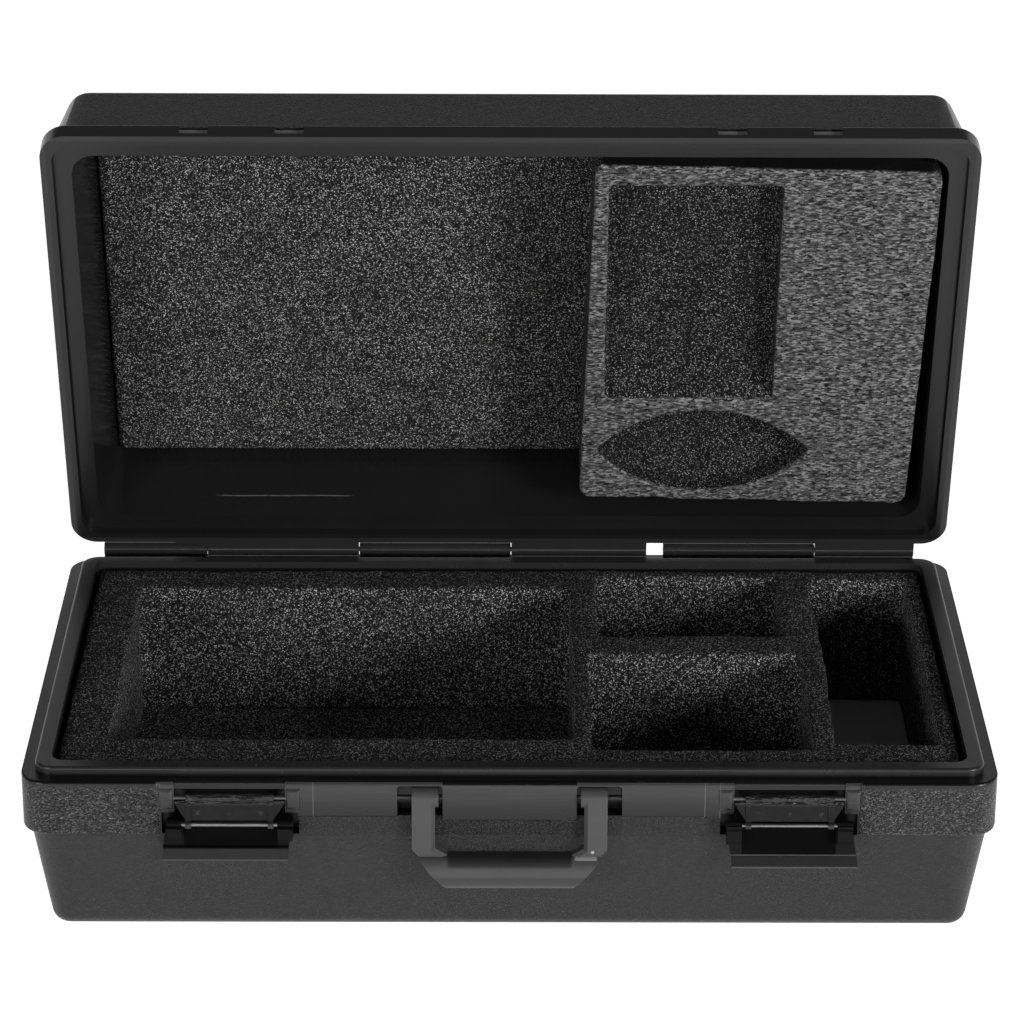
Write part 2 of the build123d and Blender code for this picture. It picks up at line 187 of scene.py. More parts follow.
# %% Materials
class Finish:
    """A material with its shader and the object's own coordinates at hand."""

    def __init__(self, name, **constants):
        self.material = bpy.data.materials.new(name)
        self.material.use_nodes = True
        self.tree = self.material.node_tree
        self.shader = self.tree.nodes["Principled BSDF"]
        for socket, value in constants.items():
            self.shader.inputs[socket.replace("_", " ")].default_value = value
        coordinates = self.tree.nodes.new("ShaderNodeTexCoord")
        self.place = Wire(self.tree, coordinates.outputs["Object"])

    def feed(self, socket, wire):
        """Lead a wire into one socket of the shader."""
        self.tree.links.new(wire.socket, self.shader.inputs[socket])

    def paint_shade(self, mask):
        """Mix in painted shade: a black that mirrors nearly nothing, as inside a latch."""
        shade_black = self.tree.nodes.new("ShaderNodeBsdfPrincipled")
        shade_black.inputs["Base Color"].default_value = grey(0.002)
        shade_black.inputs["Specular IOR Level"].default_value = 0.04
        shade_black.inputs["Roughness"].default_value = 0.7
        mix = self.tree.nodes.new("ShaderNodeMixShader")
        output = self.tree.nodes["Material Output"]
        self.tree.links.new(mask.socket, mix.inputs[0])
        self.tree.links.new(self.shader.outputs[0], mix.inputs[1])
        self.tree.links.new(shade_black.outputs[0], mix.inputs[2])
        self.tree.links.new(mix.outputs[0], output.inputs["Surface"])

    def cover(self, *pieces):
        """Give this material to pieces, in place of what they had."""
        for piece in pieces:
            piece.data.materials.clear()
            piece.data.materials.append(self.material)


print("materials ready")

# %% [markdown]
# ## The table
# The photo is a product shot, white all round. A floor that is only painted white would
# come out grey, so it also glows, but only where the camera or a glossy surface looks at
# it. The soft shadow under the case stays, and the case gets no more light.

# %% Floor
FLOOR_GLOW = 0.90
bpy.ops.object.select_all(action="DESELECT")
bpy.ops.mesh.primitive_plane_add(size=30.0, location=(0, 6, 0))
floor = bpy.context.object
floor.name = "table_top"
bpy.ops.object.transform_apply(location=True, rotation=True, scale=True)
white_table = Finish("white_table", Base_Color=grey(0.8), Roughness=0.9)
white_table.shader.inputs["Emission Strength"].default_value = 1.0
seen = white_table.place.add("ShaderNodeLightPath", {}, out="Is Camera Ray")
mirrored = white_table.place.add("ShaderNodeLightPath", {}, out="Is Glossy Ray")
shown = seen.larger(mirrored)
white_table.feed("Emission Color", shown.blend(grey(0.0), grey(FLOOR_GLOW)))
white_table.cover(floor)
print("floor ready")

# %% [markdown]
# ## The room
# Black plastic shows mostly what it mirrors. In the studio that was a pale wall low
# behind the case and darkness elsewhere, which is why the case looks black and its edges
# bright. The room is white for the camera, dim for matt surfaces, and for glossy rays it
# has that low pale wall.

# %% Pale room
SKY_ON_MATT, SKY_MIRRORED, WALL_MIRRORED = 0.09, 0.06, 0.74
sky = bpy.data.worlds.new("pale_room")
sky.use_nodes = True
bpy.context.scene.world = sky
backdrop = sky.node_tree.nodes["Background"]
backdrop.inputs["Color"].default_value = grey(1.0)
room = Wire(sky.node_tree, sky.node_tree.nodes.new("ShaderNodeTexCoord").outputs["Generated"])
seen = room.add("ShaderNodeLightPath", {}, out="Is Camera Ray")
glossy = room.add("ShaderNodeLightPath", {}, out="Is Glossy Ray")
behind_case = room.axis(1).rise(0.0, 0.5) * (1 - room.axis(2).rise(0.38, 0.53))
mirrored = glossy * (SKY_MIRRORED + behind_case * WALL_MIRRORED)
level = seen.larger(mirrored).larger((1 - glossy) * SKY_ON_MATT)
sky.node_tree.links.new(level.socket, backdrop.inputs["Strength"])
print("room ready")

# %% [markdown]
# ## The lamps
# The shadows under the handle and in the pockets show where the light stood: low, in
# front, and stronger from the right. Two softboxes stand at the sides, and a long low
# strip between them draws the thin bright lines along rods and edges.


# %% Studio lamps
def softbox(name, place, aim, width, height, watts):
    """One rectangular lamp that points at a spot on the case."""
    lamp = bpy.data.lights.new(name, "AREA")
    lamp.shape = "RECTANGLE"
    lamp.size, lamp.size_y = width, height
    lamp.energy = watts
    stand = bpy.data.objects.new(name, lamp)
    stand.location = place
    stand.rotation_mode = "QUATERNION"
    stand.rotation_quaternion = (Vector(aim) - Vector(place)).to_track_quat("-Z", "Y")
    bpy.context.scene.collection.objects.link(stand)


CASE_MIDDLE = (0, 0, 0.15)
softbox("key_left", (-2.3, -2.6, 1.05), CASE_MIDDLE, 1.0, 0.9, 36)
softbox("key_right", (2.5, -2.4, 1.00), CASE_MIDDLE, 1.0, 0.9, 84)
softbox("low_strip", (0.0, -4.0, 0.42), CASE_MIDDLE, 5.0, 0.5, 30)
print("three soft lamps in a pale room")

# %% [markdown]
# ## Black plastic of the shells
# Both halves are one black plastic, but the mould gives it several surfaces: a coarse
# leather grain on the ends of the band, a fine grain on the body and the lid, smooth
# pads that were polished between the latches, and a satin inside. One material covers a
# shell and picks the grain by the place on the case, so the grains meet without a seam.
# A bump alone would hardly show at this distance, so the grain also has painted glints:
# facets painted a little paler, from cells leaning one way, of which a power keeps a few.

# %% Black plastic
GRAIN_COARSE, GRAIN_FINE = 860.0, 1500.0
GRAIN_DEPTH, PIT_DEPTH, BRUSH_DEPTH = 0.0011, 0.00036, 0.00025
BRUSH_LINES = (14, 200, 1400)
FACET_LEAN, FACET_SIZES = (0, 0.7, 0), (800, 1400, 2200)
SCUFF_AND_SHEEN_GREY = grey(0.26)


def leather(place, scale):
    """Rounded pebbles with creases between them, as in a leather-grained mould."""
    warp = place.noise(scale * 0.4, 2.0)
    pebbles = place.cells(scale)
    crease = place.cells(scale * 0.62, feature="DISTANCE_TO_EDGE", out="Distance")
    return 1 - pebbles + crease.rise(0.0, 0.25) * 0.6 + warp * 0.5


def plastic_skin(finish, coarse, fine, polished, worn_and_sheen, marks_and_light, form=None, tone=0.007, gloss=0.27):
    """Colour, gloss and grain of black plastic from five masks and a gentle form, with painted
    light.
    """
    place = finish.place
    grain = leather(place, GRAIN_COARSE) * coarse
    pits = leather(place, GRAIN_FINE) * fine
    mottle = place.noise(9.0, 3.0)
    haze = place.noise(60.0, 4.0, 0.65)
    relief = pits.raised(PIT_DEPTH, grain.raised(GRAIN_DEPTH, form))
    brushed = place.stretch(*BRUSH_LINES).noise(1.0, 3.0, 0.6)
    finish.feed("Normal", (brushed * worn_and_sheen).raised(BRUSH_DEPTH, relief))
    # Scuffs on the pads, with a painted sheen that grows up them.
    scuffs_and_sheen = worn_and_sheen * (0.35 + brushed * 0.9)
    black = (mottle * 0.6 + haze * 0.4).blend(grey(tone * 0.7), grey(tone * 1.3))
    lean = {"Vector": place, "Rotation": FACET_LEAN, "Scale": FACET_SIZES}
    facets, second, _ = place.add("ShaderNodeMapping", lean).cells(1.0, out="Color").axes()
    # Painted glints: a few leaning facets painted paler, as if they caught the light.
    painted_glints = (facets ** 4) * (coarse * 0.8 + fine * 0.09) * (0.4 + second)
    lighter = (scuffs_and_sheen * 0.2 + painted_glints + marks_and_light * 0.35).smaller(1.0)
    finish.feed("Base Color", lighter.blend(black, SCUFF_AND_SHEEN_GREY))
    finish.feed("Roughness", gloss + haze * 0.12 - polished * 0.07 + scuffs_and_sheen * 0.2)


print("black plastic ready")

# %% [markdown]
# ## Zones of the base
# Each zone is a mask from 0 to 1, made of soft steps at places on the case. A pair of
# numbers is where a step starts and where it ends, in metres. The ends of the band carry
# the coarse grain, the body and the skirt under the pads the fine one.

# %% Zones of the base
BAND_LOW, BAND_TOP = 0.0675, 0.0985
FRONT_FACE, MIDDLE_ENDS, SLOT_GAP = (-0.140, -0.136), (0.199, 0.203), (0.037, 0.039)
BODY_TOP, PAD_FOOT, PAD_FOOT_DROP = (0.0655, 0.0668), 0.0795, 0.0022
SKIRT_LOW, SKIRT_ENDS, PAD_FACE = (0.0668, 0.0672), (0.1205, 0.1212), (-0.1569, -0.1565)
RIM_TOP, RIM_ENDS, WEAR_AND_SHEEN = (0.0995, 0.1005), (0.262, 0.264), (0.076, 0.104)
base_plastic = Finish("base_black_plastic", IOR=1.5, Specular_IOR_Level=0.37)
x, y, z = base_plastic.place.axes()
side_x = abs(x)
on_band = z.between(BAND_LOW, BAND_TOP, 0.0012)
middle = (1 - y.rise(*FRONT_FACE)) * (1 - side_x.rise(*MIDDLE_ENDS))
coarse = on_band * (1 - middle) * (1 - z.rise(BAND_TOP - 0.005, BAND_TOP) * 0.8)
body = 1 - z.rise(*BODY_TOP)
between_slots = 1 - side_x.rise(*SLOT_GAP)
above_foot = (z - PAD_FOOT + between_slots * PAD_FOOT_DROP).rise(0.0, 0.0005)
skirt = middle * z.rise(*SKIRT_LOW) * (1 - above_foot) * (1 - side_x.rise(*SKIRT_ENDS))
on_pad = middle * above_foot * (1 - y.rise(*PAD_FACE))
# Scuffs on the pads, and a painted sheen that grows towards their top.
worn_and_sheen = on_pad * z.rise(*WEAR_AND_SHEEN)
top_side = z.rise(*RIM_TOP)
smooth = (middle * above_foot).larger(top_side * (1 - side_x.rise(*RIM_ENDS)))
print("zones of the base ready")

# %% [markdown]
# ## Form and marks of the base
# The upper edge of the band is rounder than it was measured, and the pads are a little
# bowed. Both are drawn as a bump, whose height is a quarter of a circle and a parabola.
# The marks are the seams of the mould's inserts, the parting line and the ring of one
# ejector pin. A painted sheen makes the tongue round the mouth paler, and painted light
# makes the coarse grain at the right end paler.

# %% Base shell
EDGE_START, EDGE_RADIUS = 0.0990, 0.0026
BOW_START, BOW = 0.083, 7.8
SEAMS = ((-0.1126, -0.1121), (0.1114, 0.1119), (0.1200, 0.1204))
PARTING = (0.2741, 0.2745)
EJECTOR, EJECTOR_RING = (-0.2725, -0.136, 0.1015), (0.0026, 0.0031)
TONGUE_FOOT, LIT_END = (0.1026, 0.1030), (0.200, 0.215)
past_edge = (z - EDGE_START).larger(0)
rounded = (EDGE_RADIUS ** 2 - past_edge * past_edge).larger(0) ** 0.5
bowed = (z - BOW_START).larger(0) * on_pad
form = (rounded - bowed * bowed * BOW).raised(1.0)
first, second, third = [x.between(low, high, 0.0001) for low, high in SEAMS]
seams = first + second + third
flash = base_plastic.place.noise(400.0, 2.0).rise(0.45, 0.6)
parting = top_side * side_x.between(*PARTING, 0.0001) * flash
from_pin = {0: base_plastic.place, 1: EJECTOR}
ring = base_plastic.place.add("ShaderNodeVectorMath", from_pin, out="Value", operation="DISTANCE")
ejector = top_side * ring.between(*EJECTOR_RING, 0.0002)
# Painted sheen: the tongue round the mouth is painted paler.
painted_tongue_sheen = z.rise(*TONGUE_FOOT) * 0.16
# Painted light: the coarse grain at the right end is painted paler, as if lit more.
painted_right_light = coarse * x.rise(*LIT_END) * 0.11
marks_and_light = seams * on_pad * 0.8 + parting * 0.5 + ejector * 0.5 + painted_tongue_sheen + painted_right_light
plastic_skin(base_plastic, coarse, body.larger(skirt), smooth, worn_and_sheen, marks_and_light, form)
base_plastic.cover(nodes["base_shell"])
print("base shell covered")

# %% [markdown]
# ## The lid's own coordinates
# The lid is photographed leaning back, so its grain zones are easiest to name with the
# lid shut. A Mapping node turns the coordinates about the hinge, and the zones are then
# given in plain heights and widths.

# %% The shut lid
LID_OPEN = 73.4
HINGE = Vector((0, 165.3, 105.3)) * MM
shut_turn = Matrix.Rotation(radians(LID_OPEN), 3, "X")
shut_shift = HINGE - shut_turn @ HINGE


def shut_place(finish):
    """Object coordinates turned to where the lid would be if it were shut."""
    sockets = {
        "Vector": finish.place,
        "Location": tuple(shut_shift),
        "Rotation": (radians(LID_OPEN), 0, 0),
    }
    return finish.place.add("ShaderNodeMapping", sockets)


print("the lid leans back by", LID_OPEN, "degrees")

# %% [markdown]
# ## The lid's plastic
# The outside of the lid is grained and dull, and painted shade makes it darker still; the
# inside and the flange are satin. The outside is where the drafted walls are, or above
# the panel's height. The marks are the long scratch inside, a painted highlight on the
# ledges of the four hook notches, and a painted sheen that makes the flange paler.

# %% Lid shell
DRAFT = radians(9.8)
FLANGE_TOP, WALL_X, WALL_Y = 0.1145, 0.2772, 0.1542
WALL_EDGE, PANEL_EDGE = (-0.0035, -0.0025), (0.1685, 0.1695)
GRAIN_START, FLANGE_EDGE = (0.1150, 0.1158), (0.1138, 0.1146)
LATCH_X, HOOK_X, HOOK_HALF = 0.160, 0.0284, 0.0087
SCRATCH_HEIGHT, SCRATCH_ENDS = (0.1245, 0.1252), (-0.186, -0.103)
NOTCH_DEPTH, NOTCH_HEIGHT = (-0.1536, -0.1526), (0.1053, 0.1146)
lid_plastic = Finish("lid_black_plastic", IOR=1.5, Specular_IOR_Level=0.40)
shut = shut_place(lid_plastic)
x, y, z = shut.axes()
lean = (z - FLANGE_TOP) * tan(DRAFT)
past_wall = (abs(x) + lean - WALL_X).larger(abs(y) + lean - WALL_Y)
outside = past_wall.rise(*WALL_EDGE).larger(z.rise(*PANEL_EDGE))
lid_grain = outside * z.rise(*GRAIN_START)
wobble = shut.noise(40.0, 2.0) * 0.0015
scratch = (z + wobble).between(*SCRATCH_HEIGHT, 0.0002) * x.between(*SCRATCH_ENDS, 0.004)
scratch = scratch * y.rise(0.10, 0.11) * shut.noise(500.0, 2.0).rise(0.25, 0.5) * 1.6
from_hook = abs(abs(abs(x) - LATCH_X) - HOOK_X)
# Painted highlight on the ledges of the four hook notches.
painted_notch_light = y.between(*NOTCH_DEPTH, 0.0002) * z.between(*NOTCH_HEIGHT, 0.0001)
painted_notch_light = painted_notch_light * from_hook.between(-0.01, HOOK_HALF, 0.0001)
# Painted sheen: the flange is painted a little paler.
painted_flange_sheen = outside * (1 - z.rise(*FLANGE_EDGE))
marks_and_light = scratch + painted_notch_light * 2.5 + painted_flange_sheen * 0.15
grain = lid_grain * 0.4
plastic_skin(lid_plastic, grain, grain, 1 - lid_grain, z * 0, marks_and_light, tone=0.011, gloss=0.24)
# Painted shade: a dead black mixed over the grained outside makes it darker.
lid_plastic.paint_shade(lid_grain * 0.54)
lid_plastic.cover(nodes["lid_shell"])
print("lid shell covered")

# %% [markdown]
# ## The handle
# The handle is a softer, greyer plastic than the case. The gate where the plastic came
# in has left a pale spot and a short scar near one end of the grip. The hollow side of
# the grip, between the arms, and its underside lie in shadow, which is painted darker.

# %% Handle
GATE_X, GATE_Z, SPOT_SQUARED = 0.0476, 0.0600, (0.0000005, 0.0000012)
SCAR_WIDTH, SCAR_HEIGHT = (0.0375, 0.0500), (0.0562, 0.0571)
ARMS, HOLLOW, UNDERSIDE = (-0.0355, 0.0355), (0.0530, 0.0700), (0.0465, 0.0480)
GRIP_FRONT = (-0.1600, -0.1595)
handle_plastic = Finish("handle_grey_plastic", IOR=1.5)
mottle = handle_plastic.place.noise(25.0, 3.0)
haze = handle_plastic.place.noise(180.0, 3.0, 0.6)
x, y, z = handle_plastic.place.axes()
gate = (x - GATE_X) * (x - GATE_X) + (z - GATE_Z) * (z - GATE_Z)
gate_spot = 1 - gate.rise(*SPOT_SQUARED)
scar = x.between(*SCAR_WIDTH, 0.0008) * z.between(*SCAR_HEIGHT, 0.0002)
front = 1 - y.rise(*GRIP_FRONT)
pale = (gate_spot + scar * 0.6).smaller(1.0) * front
hollowed = z.between(*HOLLOW, 0.0012) * x.between(*ARMS, 0.0010)
# Painted shade between the arms and under the grip.
painted_handle_shade = (hollowed * 0.85).larger((1 - z.rise(*UNDERSIDE)) * 0.5)
grey_plastic = mottle.blend(grey(0.045), grey(0.062))
grey_plastic = painted_handle_shade.blend(grey_plastic, grey(0.008))
handle_plastic.feed("Base Color", pale.blend(grey_plastic, grey(0.45)))
handle_plastic.feed("Roughness", 0.42 + haze * 0.14)
handle_plastic.feed("Normal", haze.raised(0.00008))
handle_plastic.cover(nodes["handle"])
print("handle covered")

# %% [markdown]
# ## The latches
# The latch pieces are black and glossier than the case, because they are injection
# moulded in a polished tool. The link shows three small marks of ejector pins in a row,
# and its upper edge is wavy where the thick plastic sank as it cooled. The same plastic
# covers the stubs that the handle turns on.

# %% Latch links
DOT_OUTER, DOT_INNER, DOT_HEIGHT = (0.0168, 0.0190), (0.0010, 0.0013), (0.0828, 0.0845)
SINK_START, SINK_DEPTH = (0.0878, 0.0886), 0.0022
latch_plastic = Finish("latch_black_plastic", IOR=1.5)
mottle = latch_plastic.place.noise(30.0, 3.0)
haze = latch_plastic.place.noise(220.0, 3.0, 0.6)
x, _, z = latch_plastic.place.axes()
across = abs(abs(x) - LATCH_X)
pushed = across.between(*DOT_OUTER, 0.0002) + (1 - across.rise(*DOT_INNER))
ragged = latch_plastic.place.noise(900.0, 2.0).rise(0.45, 0.6)
dots = pushed.smaller(1.0) * z.between(*DOT_HEIGHT, 0.0002) * ragged
black = mottle.blend(grey(0.008), grey(0.014))
latch_plastic.feed("Base Color", (dots * 0.5).blend(black, grey(0.12)))
latch_plastic.feed("Roughness", 0.24 + haze * 0.14)
sink = latch_plastic.place.stretch(150, 420, 420).noise(1.0, 2.0) * z.rise(*SINK_START)
latch_plastic.feed("Normal", sink.raised(SINK_DEPTH, haze.raised(0.00006)))
latch_plastic.cover(nodes["left_latch_link"], nodes["right_latch_link"])
latch_plastic.cover(nodes["left_handle_pin"], nodes["right_handle_pin"])
print("links and handle pins covered")

# %% [markdown]
# ## The catches
# A catch hangs open with its hollow side to the camera, and no light gets in between
# its cheeks, so a dead black is painted there as shade. Only the finger lip below
# stands out, painted a little paler as a painted highlight.

# %% Catches
LIP_TOP, CHEEKS, BELOW_PIN = (0.0578, 0.0586), (0.0268, 0.0272), (0.0580, 0.0588)
catch_plastic = Finish("catch_black_plastic", IOR=1.5)
haze = catch_plastic.place.noise(220.0, 3.0, 0.6)
x, _, z = catch_plastic.place.axes()
painted_lip_light = 1 - z.rise(*LIP_TOP)
# Painted highlight: the finger lip is painted paler, as if lit.
catch_plastic.feed("Base Color", (haze * 0.3 + painted_lip_light * 0.6).blend(grey(0.012), grey(0.042)))
catch_plastic.feed("Roughness", 0.26 + haze * 0.16)
cheeks = abs(abs(x) - LATCH_X).rise(*CHEEKS)
# Painted shade between the cheeks, above the lip.
catch_plastic.paint_shade((1 - cheeks * 0.14) * z.rise(*BELOW_PIN))
catch_plastic.cover(nodes["left_latch_catch"], nodes["right_latch_catch"])
print("catches covered")

# %% [markdown]
# ## Steel
# The rods of the hinge and the pins that carry the catches are drawn steel, with fine
# lines along them. The pins that the links hang on are blackened, so they stay unseen.

# %% Steel
dark_steel = Finish("dark_steel", IOR=2.5)
dark_steel.shader.inputs["Metallic"].default_value = 1.0
drawn = dark_steel.place.stretch(40, 900, 900).noise(1.0, 3.0)
dark_steel.feed("Base Color", drawn.blend(grey(0.16), grey(0.30)))
dark_steel.feed("Roughness", 0.28 + drawn * 0.2)
dark_steel.feed("Normal", drawn.raised(0.00002))
bright_names = [name for name in nodes if "catch_pin" in name or "_rod" in name]
dark_steel.cover(*[nodes[name] for name in bright_names])
black_steel = Finish("blackened_steel", IOR=2.0)
mottle = black_steel.place.noise(300.0, 3.0)
black_steel.feed("Base Color", mottle.blend(grey(0.006), grey(0.014)))
black_steel.feed("Roughness", 0.45 + mottle * 0.2)
black_steel.feed("Normal", mottle.raised(0.00003))
black_steel.cover(nodes["left_latch_anchor_pin"], nodes["right_latch_anchor_pin"])
print("bright steel:", sorted(bright_names))

# %% [markdown]
# ## Foam
# The cut foam is open-celled: a mass of tiny bubbles, most of them black holes, with a
# few cell walls that catch the light. Random cells give each bubble its own grey, and a
# steep power keeps only a few of them bright, as painted glints over painted shade. A top
# face can be painted darker as shade. The cells also give the bump.

# %% Foam finish
CELLS, CELL_DEPTH = 1750.0, 0.0006


def foam_finish(name, dark=0.007, bright=0.85, power=9.5, top=0.0):
    """Open-cell foam: its two greys, how rare the painted glints are, and the height of a top
    face painted darker as shade.
    """
    finish = Finish(name, Roughness=0.9, Specular_IOR_Level=0.12)
    place = finish.place
    bubble, second, _ = place.cells(CELLS, out="Color").axes()
    holes = place.cells(CELLS)
    drift = place.noise(30.0, 3.0)
    # Painted glints of bright cell walls, with a little random grey.
    painted_glints_and_grey = (bubble ** power) * (0.5 + drift) + second * second * 0.014
    # The top face is painted darker, as painted shade.
    if top:
        painted_glints_and_grey = painted_glints_and_grey * (1 - place.axis(2).rise(top - 0.001, top - 0.0004) * 0.42)
    finish.feed("Base Color", painted_glints_and_grey.blend(grey(dark), grey(bright)))
    finish.feed("Normal", (holes * -1 + bubble * 0.6).raised(CELL_DEPTH))
    return finish


dark_foam = foam_finish("dark_open_foam")
print("foam finish ready")

# %% [markdown]
# ## Helpers for modelling
# An operator works on whatever is selected, so each helper first selects the one piece
# it is for, and within it the faces that pass a test of place or direction.


# %% Selecting
def only(piece):
    """Select one object and make it the active one."""
    bpy.ops.object.select_all(action="DESELECT")
    piece.select_set(True)
    bpy.context.view_layer.objects.active = piece


def settle(piece):
    """Put the object's place, turn and scale into its mesh."""
    only(piece)
    bpy.ops.object.transform_apply(location=True, rotation=True, scale=True)


def pick_faces(piece, test=lambda face: True):
    """Enter edit mode with only the faces selected that pass a test."""
    only(piece)
    bpy.ops.object.mode_set(mode="EDIT")
    bpy.ops.mesh.select_mode(type="FACE")
    bpy.ops.mesh.select_all(action="DESELECT")
    bpy.ops.object.mode_set(mode="OBJECT")
    for face in piece.data.polygons:
        face.select = test(face)
    bpy.ops.object.mode_set(mode="EDIT")


print("selecting helpers ready")

# %% [markdown]
# ## From a sheet to foam
# A slab of foam starts as a flat sheet. It is cut, thickened, and then remeshed, so that
# slow waves and fine crumbs can take away the look of a perfect solid. The modifiers are
# applied at once, because the next cut needs the mesh as it is then.


# %% Cutting, thickening and softening
def apply_modifier(piece, kind, name, **settings):
    """Add one modifier, set it and apply it."""
    only(piece)
    modifier = piece.modifiers.new(name, kind)
    for key, value in settings.items():
        setattr(modifier, key, value)
    bpy.ops.object.modifier_apply(modifier=name)


def cut_line(piece, place, normal):
    """Cut all faces along one plane and keep both sides."""
    only(piece)
    bpy.ops.object.mode_set(mode="EDIT")
    bpy.ops.mesh.select_all(action="SELECT")
    bpy.ops.mesh.bisect(plane_co=place, plane_no=normal)
    bpy.ops.object.mode_set(mode="OBJECT")


def slab_sheet(name, x0, x1, y0, y1, z):
    """A flat rectangle in millimetres, the start of a slab of foam."""
    bpy.ops.object.select_all(action="DESELECT")
    middle = ((x0 + x1) / 2 * MM, (y0 + y1) / 2 * MM, z * MM)
    bpy.ops.mesh.primitive_plane_add(size=1.0, location=middle)
    sheet = bpy.context.object
    sheet.name = name
    sheet.data.name = name
    sheet.scale = ((x1 - x0) * MM, (y1 - y0) * MM, 1)
    settle(sheet)
    return sheet


def thicken(height, taper=None):
    """Extrude the selected faces by a height in millimetres and close the slab."""
    bpy.ops.mesh.extrude_region_move(TRANSFORM_OT_translate={"value": (0, 0, height * MM)})
    if taper:
        bpy.ops.transform.resize(value=taper)
    bpy.ops.mesh.select_all(action="SELECT")
    bpy.ops.mesh.normals_make_consistent(inside=False)
    bpy.ops.object.mode_set(mode="OBJECT")


def soften(piece, voxel, wobble, fine):
    """Turn a crisp slab into foam: an even mesh, gentle waves and a torn fine surface."""
    apply_modifier(piece, "REMESH", "even", mode="VOXEL", voxel_size=voxel * MM)
    for label, size, strength in (("waves", 45 * MM, wobble), ("crumbs", 5 * MM, fine)):
        pattern = bpy.data.textures.new(piece.name + "_" + label, "CLOUDS")
        pattern.noise_scale = size
        pattern.noise_depth = 1
        apply_modifier(
            piece, "DISPLACE", label,
            texture=pattern, strength=strength * MM, mid_level=0.5, texture_coords="LOCAL",
        )
    bpy.ops.object.shade_smooth()
    print(piece.name, "has", len(piece.data.polygons), "faces")


def finish_foam(piece, node, body, finish):
    """Cover a piece, hide the measured part it stands for, and hang it on the body it rides on.
    """
    finish.cover(piece)
    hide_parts(node)
    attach(piece, body)


print("modelling helpers ready")

# %% [markdown]
# ## The foam insert of the base
# One thick block of foam fills the base, and four pockets are cut right through it. The
# floor of the pockets is a second sheet below. A flat sheet is cut along the lines of
# the pockets, their faces are removed, and what is left is extruded down. The wall left
# of the side slot has slumped into it, and its points are moved as by a soft hand.

# %% Base insert
INSERT_TOP, INSERT_BOTTOM = 103.2, 18.1
POCKETS = {
    "long_tray": (-233.5, 38.0, -103.0, 108.0),
    "back_well": (54.5, 170.0, 38.5, 127.0),
    "front_well": (47.8, 177.5, -117.0, 12.5),
    "side_slot": (188.0, 251.0, -109.5, 123.0),
}


def in_pocket(spot):
    px, py = spot.x / MM, spot.y / MM
    return any(x0 < px < x1 and y0 < py < y1 for x0, x1, y0, y1 in POCKETS.values())


insert = slab_sheet("foam_insert", -260, 260, -137, 137, INSERT_TOP)
for x0, x1, y0, y1 in POCKETS.values():
    cut_line(insert, (x0 * MM, 0, 0), (1, 0, 0))
    cut_line(insert, (x1 * MM, 0, 0), (1, 0, 0))
    cut_line(insert, (0, y0 * MM, 0), (0, 1, 0))
    cut_line(insert, (0, y1 * MM, 0), (0, 1, 0))
pick_faces(insert, lambda face: in_pocket(face.center))
bpy.ops.mesh.delete(type="FACE")
bpy.ops.mesh.select_all(action="SELECT")
thicken(INSERT_BOTTOM - INSERT_TOP)
soften(insert, 2.5, 2.4, 0.9)
slot_left, _, slot_front, slot_back = [side * MM for side in POCKETS["side_slot"]]
SLUMP, SLUMP_REACH = 3.5 * MM, 12.0 * MM
for vertex in insert.data.vertices:
    off_wall = abs(vertex.co.x - slot_left) / SLUMP_REACH
    along = (vertex.co.y - slot_front) / (slot_back - slot_front)
    if off_wall < 1 and 0 < along < 1:
        vertex.co.x += SLUMP * sin(along * pi) * (1 - off_wall)
insert_foam = foam_finish("insert_foam", top=INSERT_TOP * MM)
finish_foam(insert, "base_foam_insert", "base", insert_foam)

# %% [markdown]
# ## The pad under the insert
# A plain sheet lies under the insert and closes the four pockets. Its skin is still on
# under the side slot, so there it has no open cells, and a pale grey is painted there as
# painted light for the deep slot.

# %% Base pad
PAD_TOP, PAD_THICK = 17.6, 12.6
SKIN_START = (0.184, 0.186)
pad = slab_sheet("foam_pad", -260, 260, -137, 137, PAD_TOP)
pick_faces(pad)
thicken(-PAD_THICK)
soften(pad, 3.5, 0.3, 0.2)
pad_foam = foam_finish("pad_foam")
open_cells = Wire(pad_foam.tree, pad_foam.shader.inputs["Base Color"].links[0].from_socket)
skin = pad_foam.place.axis(0).rise(*SKIN_START)
# Painted light: the skin under the side slot is painted an even pale grey.
pad_foam.feed("Base Color", skin.blend(open_cells, grey(0.50)))
finish_foam(pad, "base_foam_pad", "base", pad_foam)

# %% [markdown]
# ## The foam in the lid
# A thin sheet lines the lid's panel, and a thicker, lighter block is glued to it. Both
# are modelled with the lid shut, where they are level, and are then turned back about
# the hinge with it. The liner is a little smaller at the panel, as the lid narrows.


# %% Lid liner
def turn_back(piece):
    """Open the piece with the lid, from shut to where it leans."""
    there = Matrix.Translation(HINGE)
    piece.matrix_world = there @ Matrix.Rotation(-radians(LID_OPEN), 4, "X") @ there.inverted()
    settle(piece)


LINER_FACE, LINER_THICK = 155.9, 9.6
liner = slab_sheet("foam_liner", -252.5, 252.5, -129.5, 125.0, LINER_FACE)
pick_faces(liner)
thicken(LINER_THICK, taper=(0.9935, 0.987, 1))
soften(liner, 2.5, 0.5, 0.4)
turn_back(liner)
finish_foam(liner, "lid_foam_liner", "lid", dark_foam)

# %% [markdown]
# ## The block in the lid
# The block was cut by hand and glued in a little askew. It is a sheet with rounded
# corners, thickened and turned. Boxes and a lens then cut its pockets.

